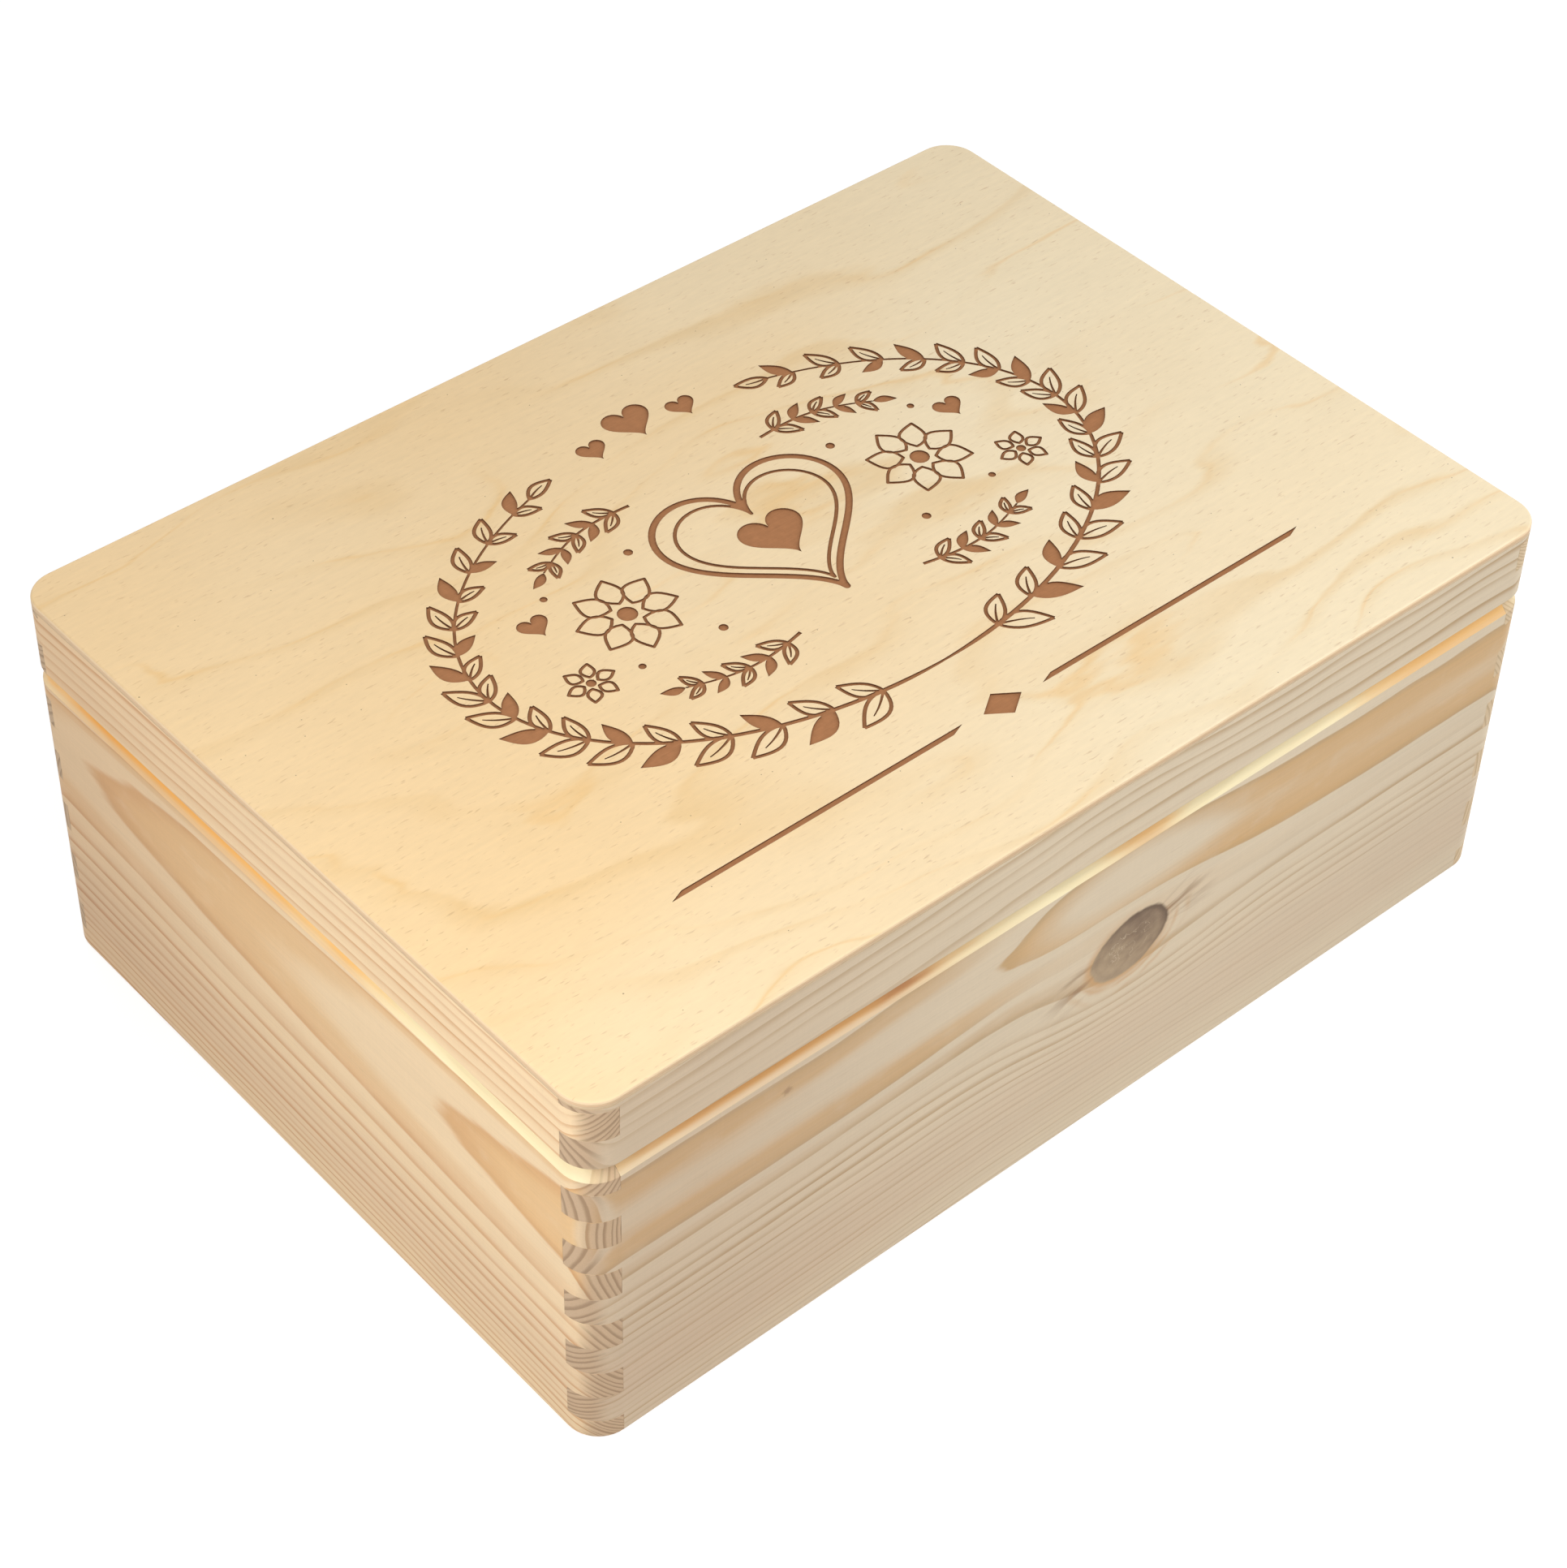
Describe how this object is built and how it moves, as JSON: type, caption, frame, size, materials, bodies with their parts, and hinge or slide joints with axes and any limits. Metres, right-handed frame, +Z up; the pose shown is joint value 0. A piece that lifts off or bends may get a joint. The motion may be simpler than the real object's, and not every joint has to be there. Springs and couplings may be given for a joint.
{
  "type": "keepsake box",
  "caption": "Low rectangular pine box with finger-jointed rounded corners and a plywood-topped lid that swings up on butt hinges at the back.",
  "frame": {"origin": "on the table, under the middle of the closed box's footprint", "axes": "+X along the front to the right, +Y from the front to the hinged back, +Z up"},
  "size_m": [0.4, 0.285, 0.152],
  "materials": {
    "pine": "sanded, unfinished",
    "plywood": "sanded, unfinished",
    "hinge_brass": "satin plated",
    "screw_brass": "satin plated"
  },
  "bodies": {
    "case": {"front_board": "pine", "back_board": "pine", "left_end_board": "pine", "right_end_board": "pine", "base_panel": "plywood", "left_hinge_case_leaf": "hinge_brass", "left_hinge_pin": "hinge_brass", "left_hinge_case_screws": "screw_brass", "right_hinge_case_leaf": "hinge_brass", "right_hinge_pin": "hinge_brass", "right_hinge_case_screws": "screw_brass"},
    "lid": {"lid_front_rail": "pine", "lid_back_rail": "pine", "lid_left_rail": "pine", "lid_right_rail": "pine", "lid_panel": "plywood", "left_hinge_lid_leaf": "hinge_brass", "left_hinge_lid_screws": "screw_brass", "right_hinge_lid_leaf": "hinge_brass", "right_hinge_lid_screws": "screw_brass"}
  },
  "joints": [
    {"name": "lid_hinge", "type": "hinge", "parent": "case", "child": "lid", "pos_m": [0, 0.1403, 0.121], "axis": [-1, 0, 0], "range_deg": [0, 105]}
  ]
}
